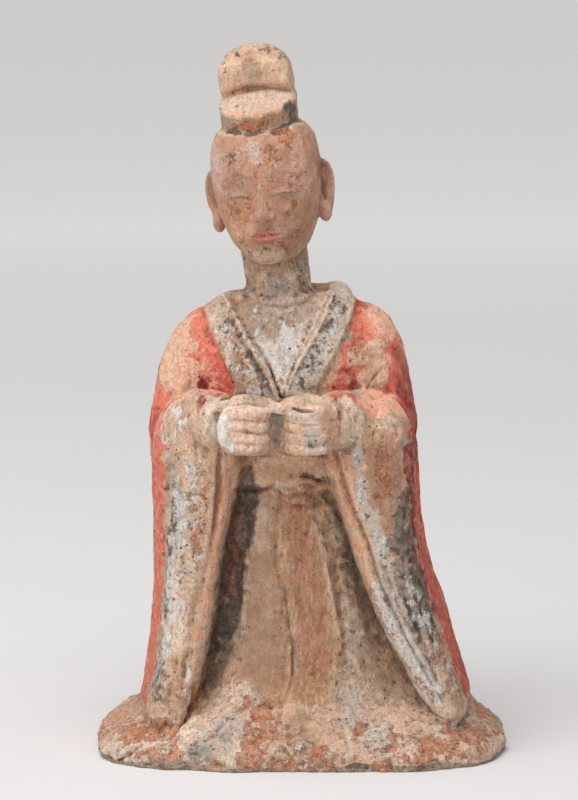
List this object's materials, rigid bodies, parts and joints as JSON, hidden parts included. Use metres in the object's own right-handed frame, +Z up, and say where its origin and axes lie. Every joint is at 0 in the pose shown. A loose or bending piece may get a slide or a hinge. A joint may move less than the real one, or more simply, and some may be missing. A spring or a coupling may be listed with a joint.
{
  "type": "tomb figure",
  "caption": "Painted earthenware tomb figure of an official in a tall-fronted cap and wide-sleeved robe, fists joined before the chest, standing on the flared hem.",
  "frame": {"origin": "middle of the bounding box on the plane of the underside", "axes": "+Z up through the figure, -Y the way the figure faces, +X to the figure's left"},
  "size_m": [0.176, 0.1396, 0.3],
  "materials": {
    "painted_earthenware": "low-fired grey earthenware, cold-painted red, white and flesh over white slip, worn, with buff and orange burial soil"
  },
  "bodies": {
    "root": {"tomb_figure": "painted_earthenware"}
  },
  "joints": []
}
